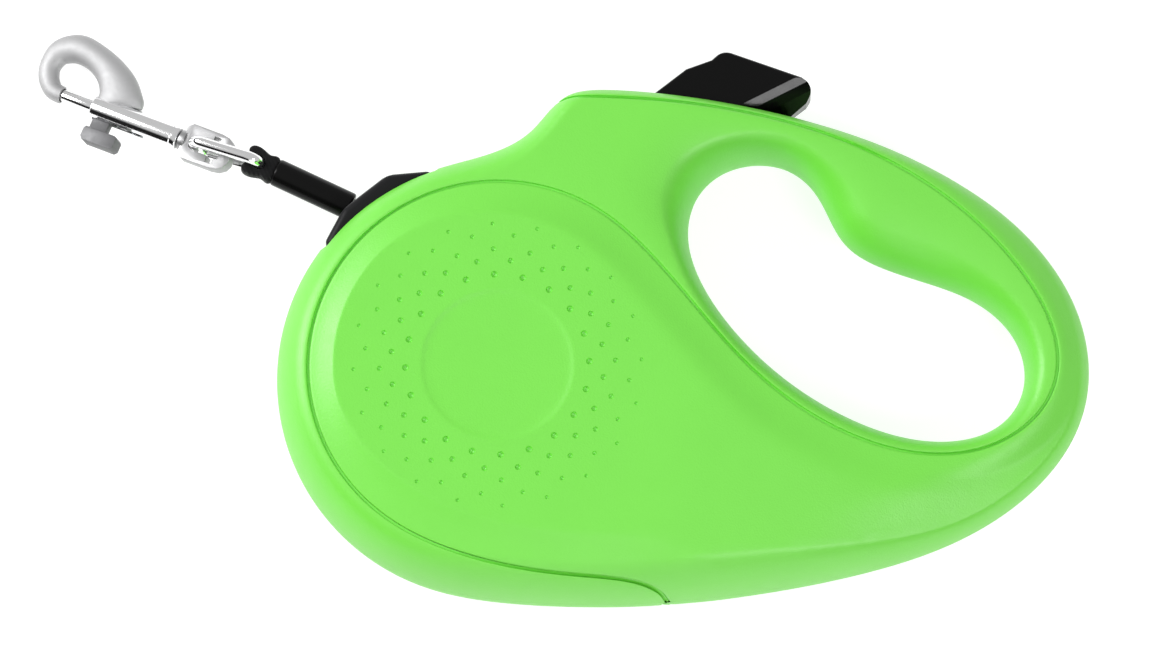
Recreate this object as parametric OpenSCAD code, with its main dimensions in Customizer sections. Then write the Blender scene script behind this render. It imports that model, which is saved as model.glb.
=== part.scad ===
// Retractable dog leash: a housing with a looped handle, a spring-driven spool of
// tape, a brake button, and a swivel snap hook on the end of the tape.
// The leash lies on its side. +Z is the spool axis, +X runs along the handle and
// +Y points to the side with the brake button. The spool axis meets the lower
// face at the origin.

/* [Housing] */
// Thickness of the housing at the spool
body_t = 34; // [33.6:0.1:34.4]
// Radius of the housing around the spool
rim_r = 47.6; // [47.4:0.1:48.2]
// Radius of the groove between the side cover and the rim
cover_r = 40.8; // [40.4:0.1:41.2]
// Wall thickness of the four shells
wall = 2; // [1.8:0.1:2.1]
// Width of the groove between cover and frame
groove_w = 0.3; // [0.2:0.05:0.4]
// How much lower the faces are at the far end of the handle
tail_drop = 7; // [6:0.5:7.5]

/* [Tape and spool] */
// Width of the tape
tape_w = 8; // [7:0.5:8]
// Thickness of the tape
tape_t = 0.8; // [0.6:0.1:0.9]
// Radius of the hub that the tape is wound on
hub_r = 16; // [14:1:18]
// Outer radius of the full winding
wound_r = 39; // [37:0.5:39]
// Radius of the spool's flanges
flange_r = 41.2; // [40.6:0.1:41.4]
// Radius of the spool's steel axle
axle_r = 3; // [3:0.1:3.2]
// Number of teeth on the brake ring
brake_teeth = 24; // [24:12:36]

/* [Brake button] */
// Travel of the brake button
press = 5; // [4:0.5:5]
// Width of the button across the housing
button_t = 12; // [10:0.5:12]

/* [Snap hook] */
// Length of the rubber sleeve on the tape's end
sleeve_l = 18.2; // [18:0.1:18.4]
// Outer radius of the sleeve
sleeve_r = 3; // [2.8:0.1:3.2]
// Wire radius of the link
link_r = 1.3; // [1.2:0.05:1.4]
// Outer radius of the hook's barrel
barrel_r = 2.75; // [2.7:0.05:2.9]
// Radius of the sliding bolt
bolt_r = 1.35; // [1.2:0.05:1.4]
// Travel of the sliding bolt
bolt_travel = 8; // [6:0.5:8]
// Angle by which the hook hangs down to the surface that the leash lies on
droop = 15.6; // [15:0.1:15.6]

/* [Hidden] */
$fn = 48;
mid = body_t / 2;
far = 200;
green = "limegreen";
// running clearance of a shaft in its bore
fit = 0.04;

// ---- curves ----

// A point of a uniform cubic B-spline over four neighbouring control points
function spline(p, i, t) =
  let (n = len(p), a = p[i % n], b = p[(i + 1) % n], c = p[(i + 2) % n], d = p[(i + 3) % n])
  (a * pow(1 - t, 3) + b * (3 * pow(t, 3) - 6 * t * t + 4)
    + c * (-3 * pow(t, 3) + 3 * t * t + 3 * t + 1) + d * pow(t, 3)) / 6;
function closed_curve(p, m) = [for (i = [0:len(p) - 1], j = [0:m - 1]) spline(p, i, j / m)];
function open_curve(p, m) = [for (i = [0:len(p) - 4], j = [0:m - 1]) spline(p, i, j / m)];
// Control points, 20 degrees apart, that make the spline an arc of radius r
function arc_control(r, angles) = [for (a = angles) r * 3 / (2 + cos(20)) * [cos(a), sin(a)]];
// Unit vector to the left of a curve at its point i
function left_of(p, i) =
  let (n = len(p), d = p[(i + 1) % n] - p[(i + n - 1) % n]) [-d[1], d[0]] / norm(d);
function smooth(a, b, v) = let (t = min(1, max(0, (v - a) / (b - a)))) t * t * (3 - 2 * t);

// Outline of the housing at its middle plane, counterclockwise from the handle's end
outline = closed_curve(concat(
  [[128.8, 0.5], [125.3, 17.5], [114.5, 32.5], [100, 43.5], [82, 52.3], [62, 58.2],
   [42, 62], [24, 63.6], [13, 63], [7.5, 53], [-3, 48.5]],
  arc_control(rim_r, [110:20:270]),
  [[17, -49.4], [34, -49.3], [54, -47], [75, -43.2], [96, -37.4], [113, -27.5],
   [124.5, -14.5]]), 3);
// Edge of the finger opening at the middle plane, counterclockwise
opening = closed_curve([[114.8, -1], [112.2, 10], [103.5, 18], [92, 21.8], [81, 25.3],
  [73.3, 30.4], [69.8, 41], [62.5, 48.3], [51, 48.3], [42.2, 41.5], [40, 30], [45.3, 17],
  [56, 4], [69, -6], [84, -13], [98, -14.8], [109.5, -11]], 3);
// Groove between frame and side cover: from the bottom edge round the spool, under
// the finger opening, round the handle's end and back along the top
groove = open_curve(concat(
  [[44, -55], [39, -49.5], [31, -46], [16, -45.4], [1, -43.6]],
  arc_control(cover_r, [250:-20:50]),
  [[39.5, 17.5], [52.5, 0.8], [68, -11.6], [87, -19.2], [106, -18.3], [119.5, -8], [122, 6],
   [114.5, 21.5], [100, 37], [81, 48.7], [60, 56], [38, 59.3], [20, 59.9], [8, 60], [-4, 60]]), 3);

// ---- places ----

// Where the tape leaves the housing, and the direction that it leaves in
exit_at = [-31.3, 38.1, mid];
exit_a = 154.5;
// Distance from the tape's exit to the wire that the textile loop goes round
loop_at = 22;
// Bends of the chain seen from above: at the textile loop, and at the swivel's eye
loop_bend = 5;
eye_bend = 3.5;
// Distance between the link's two end wires
link_l = 15.4;
// Middle of the brake button at the housing's edge, and its direction
button_at = [46, 56, mid];
button_a = 36.87;
// Screws of the frame and of the covers
frame_screws = [[20, 53.5], [92, 34]];
cover_screws = [[52, -22], [94, -27]];
boss_r = 4.2;
screw_r = 1.2;
head_r = 2.8;
// Height over the middle plane at which the screw's head seats
seat = 8;

// Along the tape's exit: x outwards, z up
module at_exit() {
  translate(exit_at)
    rotate([0, 0, exit_a])
      children();
}
// Along the link that hangs in the textile loop: x outwards, y to the horn's side
module at_link() {
  at_exit()
    translate([loop_at, 0, 0])
      rotate([0, 0, loop_bend])
        rotate([180, droop, 0])
          children();
}
// Along the snap hook: x measured from the textile loop's wire, y to the horn's side
module at_hook() {
  at_link()
    translate([link_l, 0, 0])
      rotate([0, 0, eye_bend])
        translate([-link_l, 0, 0])
          children();
}
// Along the button's travel: x outwards
module at_button() {
  translate(button_at)
    rotate([0, 0, button_a])
      children();
}
module ring(r_out, r_in, z0, z1) {
  translate([0, 0, z0])
    difference() {
      cylinder(h = z1 - z0, r = r_out);
      translate([0, 0, -1])
        cylinder(h = z1 - z0 + 2, r = r_in);
    }
}
// Rod or bore along x from x0 to x1
module along_x(r, x0, x1) {
  translate([x0, 0, 0])
    rotate([0, 90, 0])
      cylinder(h = x1 - x0, r = r);
}

// ---- shells of the housing ----

// Inset and height above the middle plane of the rounded rim, from its edge inwards
rim_profile = [[0, 0], [0.5, 4.5], [1.6, 8.6], [3.4, 11.9], [6.8, 14.7], [14.6, 17]];
// The same for the edge of the finger opening
opening_profile = [[0, 0], [0.4, 4], [1.3, 7], [3.5, 10.5], [4.5, 12], [5, 17]];
// The rim is less wide along the top and towards the handle's end
function rim_share(p, k) = k < 5
  ? 1 - 0.45 * max(smooth(40, 50, p[1]), smooth(60, 110, p[0]))
  : 1 - 0.5 * max(smooth(-5, 25, p[0]), smooth(40, 50, p[1]));
// Height of the outer face over a point of the plan
top_drop = 5;
function face_z(x, y) =
  body_t - max(0, tail_drop * (x - 45) / 82, top_drop * (y - 42) / 28);

// Solid through closed rings that all have the same number of points
module loft(rings) {
  n = len(rings[0]);
  m = len(rings);
  polyhedron(
    points = [for (r = rings) each r],
    faces = concat(
      [[for (i = [0:n - 1]) i]],
      [for (k = [0:m - 2], i = [0:n - 1])
        let (a = k * n + i, b = k * n + (i + 1) % n) each [[a, b + n, b], [a, a + n, b + n]]],
      [[for (i = [n - 1:-1:0]) (m - 1) * n + i]]),
    convexity = 8);
}
// Upper half of the housing without a cavity, s smaller on every side
module half_solid(s) {
  top = body_t - s;
  difference() {
    intersection() {
      loft([for (k = [0:len(rim_profile) - 1]) [for (i = [0:len(outline) - 1])
        let (inset = s + rim_profile[k][0] * rim_share(outline[i], k),
             q = outline[i] + left_of(outline, i) * inset)
        [q[0], q[1], mid - (k == 0 ? 1 : 0) + rim_profile[k][1] * (mid - s) / 17]]]);
      rotate([90, 0, 0])
        linear_extrude(far, center = true)
          polygon([[-80, 0], [-80, top], [45, top], [127, top - tail_drop],
            [140, top - tail_drop - 1], [140, 0]]);
      rotate([90, 0, 90])
        linear_extrude(2 * far, center = true)
          polygon([[-80, 0], [-80, top], [42, top], [70, top - top_drop], [70, 0]]);
    }
    loft([for (k = [0:len(opening_profile) - 1]) [for (i = [0:len(opening) - 1])
      let (q = opening[i] - left_of(opening, i) * (s + opening_profile[k][0]))
      [q[0], q[1], mid - (k == 0 ? 2 : 0) + opening_profile[k][1]]]]);
  }
}
module half_shell() {
  intersection() {
    difference() {
      half_solid(0);
      half_solid(wall);
    }
    translate([-far / 2, -far / 2, mid])
      cube([2 * far, far, far]);
  }
}
// Plan area of the side cover, grown by g
module cover_area(g) {
  edge = [for (i = [1:len(groove) - 2]) groove[i] + left_of(groove, i) * g];
  translate([0, 0, -1])
    linear_extrude(body_t + 2)
      polygon(concat(edge, [[-10, 90], [150, 90], [150, -80], [44, -80]]));
}
// Room for the brake button where it passes through the edge
module button_slot() {
  at_button()
    translate([0, 0, -button_t / 2 - 0.3])
      linear_extrude(button_t + 0.6)
        polygon([[-12, 12.8], [3, 12.9], [9, 11.2], [31, 11.2], [31, -8.8], [11.5, -8.8],
          [6, -7.6], [-2, -4], [-12, 2]]);
}
// Notch in the rim for the tape outlet
outlet_t = 18;
module outlet_notch() {
  translate([0, 0, mid - outlet_t / 2])
    linear_extrude(outlet_t)
      polygon([[-15.2, 33.5], [-11.4, 60], [-60, 60], [-60, 43.2], [-28, 21]]);
}
// Tabs of the frame that the edge of the side cover lies on
module cover_tabs() {
  for (a = [130, 170, 210, 250])
    rotate([0, 0, a])
      translate([cover_r, 0, mid + 10.5])
        cylinder(h = 1.9, r = 3, $fn = 12);
  rotate([0, 0, 55])
    translate([cover_r, 0, mid + 13.4])
      cylinder(h = 2.2, r = 3, $fn = 12);
}
// Rib that holds one end of the button's guide block
guide_h = 12;
module guide_rib() {
  at_button()
    translate([-21, -4.6, guide_h])
      cube([3.5, 13.2, 3.2]);
}
module bosses(places) {
  for (p = places)
    translate([p[0], p[1], mid])
      cylinder(h = face_z(p[0], p[1]) - mid - 1, r = boss_r, $fn = 12);
}
module screw_holes(places) {
  for (p = places)
    translate([p[0], p[1], mid - 1])
      cylinder(h = seat + 2, r = screw_r);
}
module seat_holes(places) {
  for (p = places)
    translate([p[0], p[1], mid]) {
      translate([0, 0, -1])
        cylinder(h = seat + 2, r = screw_r + 0.3);
      translate([0, 0, seat])
        cylinder(h = mid, r = head_r + 0.3);
    }
}
// Frame: the rim round the spool, the neck and the inside of the handle
module frame_half() {
  difference() {
    union() {
      difference() {
        half_shell();
        cover_area(groove_w / 2);
      }
      bosses(frame_screws);
      cover_tabs();
      guide_rib();
    }
    button_slot();
    outlet_notch();
  }
}
// Side cover: the disc over the spool, the lower body and the outside of the handle
axle_seat = 2.3;
module cover_half() {
  difference() {
    union() {
      intersection() {
        half_shell();
        cover_area(-groove_w / 2);
      }
      bosses(cover_screws);
      translate([0, 0, body_t - 4.6])
        cylinder(h = 3.6, r = 6);
    }
    translate([0, 0, mid])
      cylinder(h = mid - axle_seat, r = axle_r);
    cover_tabs();
    button_slot();
  }
}
module lower_side() {
  translate([0, 0, body_t])
    mirror([0, 0, 1])
      children();
}
module frame_upper() {
  color(green)
    difference() {
      frame_half();
      screw_holes(frame_screws);
    }
}
module frame_lower() {
  color(green)
    lower_side()
      difference() {
        frame_half();
        seat_holes(frame_screws);
      }
}
module cover_upper() {
  color(green)
    difference() {
      cover_half();
      screw_holes(cover_screws);
    }
}
module cover_lower() {
  color(green)
    lower_side()
      difference() {
        cover_half();
        seat_holes(cover_screws);
      }
}
// Four identical screws, put in from the lower side
module case_screws() {
  head_h = 2;
  color("silver")
    for (p = concat(frame_screws, cover_screws))
      translate([p[0], p[1], mid - seat]) {
        translate([0, 0, -head_h])
          difference() {
            cylinder(h = head_h, r = head_r);
            translate([-1.8, -0.35, -1])
              cube([3.6, 0.7, 2]);
            translate([-0.35, -1.8, -1])
              cube([0.7, 3.6, 2]);
          }
        cylinder(h = 2 * seat, r = screw_r);
      }
}

// ---- tape outlet and tape run ----

// Angle round the spool at which the tape leaves the winding, and its lip: the point
// in the outlet where the tape bends to the exit's direction
leave_a = 100;
lip = [-25.8, 35.5];

module tape_slot(w, t) {
  translate([exit_at[0], exit_at[1], mid - w / 2])
    rotate([0, 0, exit_a])
      translate([-6.4, -t / 2, 0])
        cube([12, t, w]);
  translate([lip[0], lip[1], mid - w / 2])
    rotate([0, 0, leave_a - 90])
      translate([-1, -t / 2, 0])
        cube([8, t, w]);
}
module tape_outlet() {
  color([0.1, 0.1, 0.11])
    difference() {
      translate([0, 0, mid - outlet_t / 2])
        linear_extrude(outlet_t)
          polygon(concat(
            [[-14, 44.6], [-23.9, 43.7], [-33.4, 36.2], [-37.6, 28.2]],
            [for (a = [141:-3:111]) 42.9 * [cos(a), sin(a)]]));
      tape_slot(tape_w + 0.8, 2.2);
      // Round seat that the sleeve's end rests in
      at_exit()
        translate([0.1, 0, 0])
          rotate([0, 90, 0])
            cylinder(r = sleeve_r + 0.4, h = 6, $fn = 24);
    }
}
// Tape from the winding over the lip to the sleeve
module tape_run() {
  gap = 0.05;
  out = [cos(leave_a), sin(leave_a)];
  side = [cos(exit_a - 90), sin(exit_a - 90)];
  start = out * (wound_r + tape_t / 2 + gap);
  bend = (out + side) / (1 + out * side);
  end = [exit_at[0], exit_at[1]] + [cos(exit_a), sin(exit_a)] * 0.4;
  h = tape_t / 2;
  color([0.12, 0.12, 0.13])
    translate([0, 0, mid - tape_w / 2])
      linear_extrude(tape_w)
        polygon([start + out * h, lip + bend * h, end + side * h,
          end - side * h, lip - bend * h, start - out * h]);
}

// ---- spool, spring and brake ring ----

flange_z = mid - 6;
flange_t = 1.2;
ring_z = mid + 6;
ring_t = 4;
spring_z = 5.4;
spring_h = 5.4;
bush_r = 4.6;
hub_top = ring_z + 4.3;
drum_r = 30;
anchor_at = hub_r - 2.6;

module spool_axle() {
  color("silver")
    difference() {
      translate([0, 0, axle_seat])
        cylinder(h = body_t - 2 * axle_seat, r = axle_r);
      // slot for the inner end of the power spring
      translate([0, -0.35, spring_z - 0.2])
        cube([axle_r + 1, 0.7, spring_h + 0.4]);
    }
}
module axle_clip() {
  color("gray")
    difference() {
      ring(5, axle_r, hub_top + 0.3, hub_top + 1.1);
      translate([2, -1.2, hub_top])
        cube([5, 2.4, 3]);
    }
}
module spool_bush() {
  color("darkgoldenrod")
    ring(bush_r, axle_r + fit, flange_z, hub_top);
}
module spool_drum() {
  color([0.85, 0.85, 0.83])
    difference() {
      union() {
        ring(flange_r, bush_r, flange_z, flange_z + flange_t);
        ring(flange_r, bush_r, ring_z - flange_t, ring_z);
        ring(hub_r, bush_r, flange_z, ring_z);
        ring(7.5, bush_r, ring_z - 1, hub_top);
        // wall round the power spring
        ring(drum_r, drum_r - 2, spring_z - 0.2, flange_z + 0.5);
      }
      // slot for the tape's inner end and its pin
      rotate([0, 0, 60]) {
        translate([anchor_at, 0, flange_z + flange_t])
          cylinder(h = mid, r = 1.2);
        translate([anchor_at, -0.5, mid - tape_w / 2])
          cube([5, 1, tape_w]);
      }
      // lightening holes in the upper flange
      for (a = [30:60:330])
        rotate([0, 0, a])
          translate([23, 0, ring_z - 3])
            cylinder(h = 6, r = 4.5);
    }
}
module tape_anchor() {
  color("silver")
    rotate([0, 0, 60])
      translate([anchor_at, 0, flange_z + flange_t])
        cylinder(h = ring_z - flange_z - 2 * flange_t, r = 1.2);
}
module spring_cover() {
  color([0.3, 0.3, 0.32])
    ring(drum_r, 7.2, spring_z - 0.9, spring_z - 0.2);
}
module wound_tape() {
  color([0.12, 0.12, 0.13])
    ring(wound_r, hub_r, mid - tape_w / 2, mid + tape_w / 2);
}
// Spiral power spring between the axle and the drum
module power_spring() {
  turns = 9;
  steps = 20;
  strip = 0.5;
  first = axle_r + 0.3;
  last = drum_r - 2 - strip;
  function at(i, o) =
    let (r = first + (last - first) * i / (turns * steps) + o)
    r * [cos(360 * i / steps), sin(360 * i / steps)];
  color([0.55, 0.58, 0.62])
    translate([0, 0, spring_z])
      linear_extrude(spring_h)
        polygon(concat(
          [for (i = [0:turns * steps]) at(i, 0)],
          [for (i = [turns * steps:-1:0]) at(i, strip)]));
}

// ---- brake ----

// Far end of the plunger on the button's line, and the angle round the spool at
// which it drops between two teeth
tip_x = -30.6;
gap_a = atan2(button_at[1] + (tip_x - 3) * sin(button_a),
  button_at[0] + (tip_x - 3) * cos(button_a));
blade_w = 3.4;
blade_t = 3.4;
blade_z = ring_z - mid + 0.3;
guide_x = -21;
guide_t = 3.5;
button_x = -8.4;

// Ring of square teeth that the plunger drops between
module ratchet_ring() {
  pitch = 360 / brake_teeth;
  tip_r = flange_r - 0.2;
  root_r = flange_r - 3.6;
  color([0.2, 0.2, 0.22])
    translate([0, 0, ring_z])
      linear_extrude(ring_t)
        polygon(
          points = concat(
            [for (i = [0:brake_teeth - 1], s = [0.29, 0.31, 0.5, 0.69, 0.71, 1])
              let (r = s > 0.3 && s < 0.7 ? tip_r : root_r, a = gap_a + (i + s) * pitch)
              r * [cos(a), sin(a)]],
            [for (a = [0:10:350]) drum_r * [cos(a), sin(a)]]),
          paths = [[for (i = [0:6 * brake_teeth - 1]) i],
            [for (i = [0:35]) 6 * brake_teeth + i]]);
}
module brake_button() {
  color([0.05, 0.05, 0.05])
    at_button()
      difference() {
        translate([0, 0, -button_t / 2])
          linear_extrude(button_t)
            polygon([[button_x, -2.5], [2, -5], [8, -7.2], [12, -8.4], [19.6, -8.3],
              [21.6, -7.5], [22.2, -5.8], [21.6, -3.9], [12.2, 10.2], [10.6, 11], [8.3, 10.8],
              [2.7, 12.5], [button_x, 12.3]]);
        along_x(1.2, button_x - 1, button_x + 4);
      }
}
module brake_plunger() {
  foot = 3;
  color([0.6, 0.6, 0.62])
    at_button() {
      translate([tip_x, -blade_w / 2, blade_z])
        cube([button_x - tip_x, blade_w, blade_t]);
      translate([button_x - foot, -blade_w / 2, -4])
        cube([foot, blade_w, blade_z + blade_t + 4]);
      along_x(1.2, button_x - 1, button_x + 4);
    }
}
module button_guide() {
  color([0.3, 0.3, 0.32])
    at_button()
      difference() {
        translate([guide_x, -4.6, -guide_h])
          cube([guide_t, 13.2, 2 * guide_h]);
        translate([guide_x - 1, -blade_w / 2 - 0.1, blade_z - 0.1])
          cube([guide_t + 2, blade_w + 0.2, blade_t + 0.2]);
      }
}
module button_spring() {
  color("silver")
    at_button()
      translate([0, 6, 0])
        difference() {
          along_x(2.4, guide_x + guide_t, button_x);
          along_x(1.8, guide_x, button_x + 1);
        }
}

// ---- the tape's end ----

module tape_sleeve() {
  color([0.03, 0.03, 0.03])
    at_exit()
      difference() {
        along_x(sleeve_r, 0.4, 0.4 + sleeve_l);
        along_x(1.8, 0, 1 + sleeve_l);
      }
}
// Folded end of the tape: its core in the sleeve, and the loop round the link's wire
module leash_loop() {
  x0 = 0.4 + sleeve_l;
  loop_t = 4.2;
  color([0.1, 0.1, 0.1]) {
    at_exit()
      along_x(1.7, 0.6, x0 + 0.5);
    difference() {
      at_exit()
        translate([0, 0, -loop_t / 2])
          linear_extrude(loop_t)
            polygon([[x0, -2.7], [x0 + 1.6, -3], [loop_at + 1.6, -2.8], [loop_at + 2.9, -1.9],
              [loop_at + 3.3, 0], [loop_at + 2.9, 1.9], [loop_at + 1.6, 2.8], [x0 + 1.6, 3],
              [x0, 2.7]]);
      at_link()
        cylinder(h = 4 * loop_t, r = link_r + 0.2, center = true);
    }
  }
}

// ---- link, swivel and snap hook ----

// Half the distance between the link's two bars, and the radius of its corners
link_h = 4.3;
link_bend = 2.4;
eye_t = 3.2;
eye_end = 18.5;
barrel_x = 19.6;
barrel_end = 41;
post_r = 1.2;
cavity_r = 1.9;
bolt_back = 33.5;
bolt_tip = 49.6;
nose_x = 48.9;
stem_x = 35.7;

// Link of round wire: two bars and two end wires
module snap_link() {
  straight = link_h - link_bend;
  color("silver")
    at_link()
      rotate([90, 0, 0]) {
        for (s = [-1, 1])
          translate([0, s * link_h, 0])
            along_x(link_r, link_bend, link_l - link_bend);
        for (x = [0, link_l])
          translate([x, straight, 0])
            rotate([90, 0, 0])
              cylinder(h = 2 * straight, r = link_r);
        for (c = [[link_bend, straight, 90], [link_bend, -straight, 180],
            [link_l - link_bend, straight, 0], [link_l - link_bend, -straight, 270]])
          translate([c[0], c[1], 0])
            rotate([0, 0, c[2]])
              rotate_extrude(angle = 90)
                translate([link_bend, 0])
                  circle(r = link_r);
      }
}
// Eye with a long slot for the link, and the post that the hook turns on
module swivel_head() {
  color("lightgray")
    at_hook() {
      difference() {
        translate([0, 0, -eye_t / 2])
          linear_extrude(eye_t)
            polygon([[6.7, -1.6], [6.7, 1.6], [7.3, 2.8], [8.6, 3.7], [10.4, 4], [17.4, 4],
              [eye_end, 3], [eye_end, -3], [17.4, -4], [10.4, -4], [8.6, -3.7], [7.3, -2.8]]);
        translate([link_l, 0, -eye_t])
          cylinder(h = 2 * eye_t, r = link_r + 0.3);
        translate([9.4, -link_r - 0.3, -eye_t])
          cube([link_l - 9.4, 2 * link_r + 0.6, 2 * eye_t]);
        translate([10.2, -3, -eye_t])
          cube([1.6, 6, 2 * eye_t]);
      }
      along_x(2.2, eye_end - 0.5, barrel_x - 0.2);
      along_x(post_r, barrel_x - 1, barrel_x + 2.5);
      along_x(1.7, barrel_x + 2.1, barrel_x + 3.3);
    }
}
// Centre line of the horn: place along and across the barrel, half width, half thickness
horn = [[35, 0.6, 4.6, 1.6], [35.8, 2.6, 5.4, 2.5], [37.6, 5.8, 4.4, 2.8], [40.8, 8.5, 3.5, 2.9],
  [45, 10.3, 3.1, 2.9], [49.6, 10.8, 3.2, 2.8], [53.2, 8.8, 2.9, 2.5], [54.2, 5.4, 2.4, 2.3],
  [53.4, 2.6, 2.3, 2.2], [51.6, 0.6, 2.1, 2], [50, 0, 1.95, 1.95], [48.9, -0.1, 1.9, 1.9]];
module horn_solid() {
  path = concat([2 * horn[0] - horn[1]], horn, [2 * horn[11] - horn[10]]);
  mids = concat(open_curve(path, 3), [horn[11]]);
  last = len(mids) - 1;
  loft([for (k = [0:last])
    let (m = mids[k], a = mids[max(0, k - 1)], b = mids[min(last, k + 1)],
         d = [b[0] - a[0], b[1] - a[1]], side = [-d[1], d[0]] / norm(d))
    [for (t = [0:15:345])
      [m[0] + side[0] * m[2] * cos(t), m[1] + side[1] * m[2] * cos(t), m[3] * sin(t)]]]);
}
module snap_hook_body() {
  color("silver")
    at_hook()
      difference() {
        union() {
          along_x(barrel_r, barrel_x, barrel_end);
          horn_solid();
        }
        along_x(post_r + fit, barrel_x - 1, barrel_x + 3);
        along_x(cavity_r, barrel_x + 2, bolt_back + 0.3);
        along_x(bolt_r + fit, bolt_back, barrel_end + 1);
        along_x(bolt_r + 0.1, nose_x - 1, bolt_tip + 0.7);
        // slot for the lug's stem
        translate([stem_x - bolt_travel - 0.3, -4, -1.3])
          cube([4.6 + bolt_travel, 4, 2.6]);
      }
}
module snap_bolt() {
  color("silver")
    at_hook()
      along_x(bolt_r, bolt_back, bolt_tip);
}
// Thumb lug on the bolt
module bolt_lug() {
  color("silver")
    at_hook()
      difference() {
        union() {
          translate([stem_x, -5.5, -1.1])
            cube([4, 5.5, 2.2]);
          translate([0, 0, -2.2])
            linear_extrude(4.4)
              polygon([[32.9, -4.8], [40, -4.8], [40.4, -5.4], [40.4, -7.2], [39.8, -7.9],
                [33, -7.9], [32.4, -7.3], [32.4, -5.3]]);
        }
        along_x(bolt_r, stem_x - 1, stem_x + 6);
      }
}
module bolt_spring() {
  color("silver")
    at_hook()
      difference() {
        along_x(1.8, barrel_x + 3.5, bolt_back);
        along_x(1.3, barrel_x, bolt_back + 1);
      }
}

frame_lower();
frame_upper();
cover_lower();
cover_upper();
case_screws();
tape_outlet();
spool_axle();
axle_clip();
button_guide();
spool_drum();
spool_bush();
ratchet_ring();
spring_cover();
tape_anchor();
wound_tape();
power_spring();
brake_button();
brake_plunger();
button_spring();
tape_run();
tape_sleeve();
leash_loop();
snap_link();
swivel_head();
snap_hook_body();
snap_bolt();
bolt_lug();
bolt_spring();
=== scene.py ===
import math

import bmesh
import bpy
import numpy as np
from mathutils import Matrix, Vector
from mathutils.geometry import delaunay_2d_cdt


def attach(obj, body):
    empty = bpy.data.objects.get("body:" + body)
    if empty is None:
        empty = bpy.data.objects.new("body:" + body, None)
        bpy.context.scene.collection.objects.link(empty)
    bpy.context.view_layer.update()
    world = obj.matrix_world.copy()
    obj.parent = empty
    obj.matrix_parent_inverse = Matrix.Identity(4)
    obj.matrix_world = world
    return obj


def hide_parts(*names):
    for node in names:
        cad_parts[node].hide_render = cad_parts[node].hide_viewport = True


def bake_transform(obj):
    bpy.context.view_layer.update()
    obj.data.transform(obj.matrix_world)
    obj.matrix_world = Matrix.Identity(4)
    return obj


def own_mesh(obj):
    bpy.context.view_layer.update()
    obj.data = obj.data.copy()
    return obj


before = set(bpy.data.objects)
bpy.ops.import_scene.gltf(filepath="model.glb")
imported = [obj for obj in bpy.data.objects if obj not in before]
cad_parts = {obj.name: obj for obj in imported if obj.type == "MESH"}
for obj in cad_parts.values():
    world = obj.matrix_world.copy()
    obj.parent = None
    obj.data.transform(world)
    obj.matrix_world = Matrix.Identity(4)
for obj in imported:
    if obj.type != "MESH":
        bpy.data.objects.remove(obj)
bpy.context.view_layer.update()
MM = 0.001

# ---------------------------------------------------------------- camera

# Width of the view at the leash, in metres, and the camera's tilt from straight above
VIEW_W = 248.325 * MM
TILT = math.radians(12)
FAR_AWAY = 5.0

back = Vector((0, -math.sin(TILT), math.cos(TILT)))
up = Vector((0, math.cos(TILT), math.sin(TILT)))
look_at = Vector((17.2, 8.85, 34)) * MM
cam_data = bpy.data.cameras.new("camera")
cam_data.lens = 36 * FAR_AWAY / VIEW_W
cam_data.clip_end = 20
camera = bpy.data.objects.new("camera", cam_data)
camera.matrix_world = Matrix.Translation(look_at + back * FAR_AWAY) @ Matrix(
    (Vector((1, 0, 0)), up, back)).transposed().to_4x4()
bpy.context.collection.objects.link(camera)
bpy.context.scene.camera = camera

# ---------------------------------------------------------------- materials


class Shader:
    """A material with a Principled shader and short calls for the nodes behind it."""

    def __init__(self, name, **values):
        self.material = bpy.data.materials.new(name)
        self.material.use_nodes = True
        self.tree = self.material.node_tree
        self.shader = self.tree.nodes["Principled BSDF"]
        for key, value in values.items():
            self.shader.inputs[key.replace("_", " ")].default_value = value
        self.coords = self.tree.nodes.new("ShaderNodeTexCoord").outputs["Object"]

    def link(self, a, b):
        self.tree.links.new(a, b)

    def noise(self, scale, detail=3.0, stretch=None, rough=0.5):
        node = self.tree.nodes.new("ShaderNodeTexNoise")
        node.inputs["Scale"].default_value = scale
        node.inputs["Detail"].default_value = detail
        node.inputs["Roughness"].default_value = rough
        source = self.coords
        if stretch:
            source = self.mapped(stretch)
        self.link(source, node.inputs["Vector"])
        return node.outputs["Fac"]

    def mapped(self, scale, rotation=(0, 0, 0)):
        node = self.tree.nodes.new("ShaderNodeMapping")
        node.inputs["Scale"].default_value = scale
        node.inputs["Rotation"].default_value = rotation
        self.link(self.coords, node.inputs["Vector"])
        return node.outputs["Vector"]

    def ramp(self, factor, stops):
        node = self.tree.nodes.new("ShaderNodeValToRGB")
        elements = node.color_ramp.elements
        while len(elements) < len(stops):
            elements.new(0.5)
        for element, (place, colour) in zip(elements, stops):
            element.position = place
            element.color = (*colour, 1) if len(colour) == 3 else colour
        self.link(factor, node.inputs["Fac"])
        return node.outputs["Color"]

    def range(self, factor, low, high):
        node = self.tree.nodes.new("ShaderNodeMapRange")
        node.inputs["To Min"].default_value = low
        node.inputs["To Max"].default_value = high
        self.link(factor, node.inputs["Value"])
        return node.outputs["Result"]

    def multiply(self, a, b):
        node = self.tree.nodes.new("ShaderNodeMath")
        node.operation = "MULTIPLY"
        self.link(a, node.inputs[0])
        self.link(b, node.inputs[1])
        return node.outputs["Value"]

    def colour(self, output):
        self.link(output, self.shader.inputs["Base Color"])

    def roughness(self, output):
        self.link(output, self.shader.inputs["Roughness"])

    def bump(self, height, distance, strength=1.0):
        node = self.tree.nodes.new("ShaderNodeBump")
        node.inputs["Distance"].default_value = distance
        node.inputs["Strength"].default_value = strength
        self.link(height, node.inputs["Height"])
        self.link(node.outputs["Normal"], self.shader.inputs["Normal"])


def tone(colour, factor):
    return tuple(min(1.0, c * factor) for c in colour)


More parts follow.
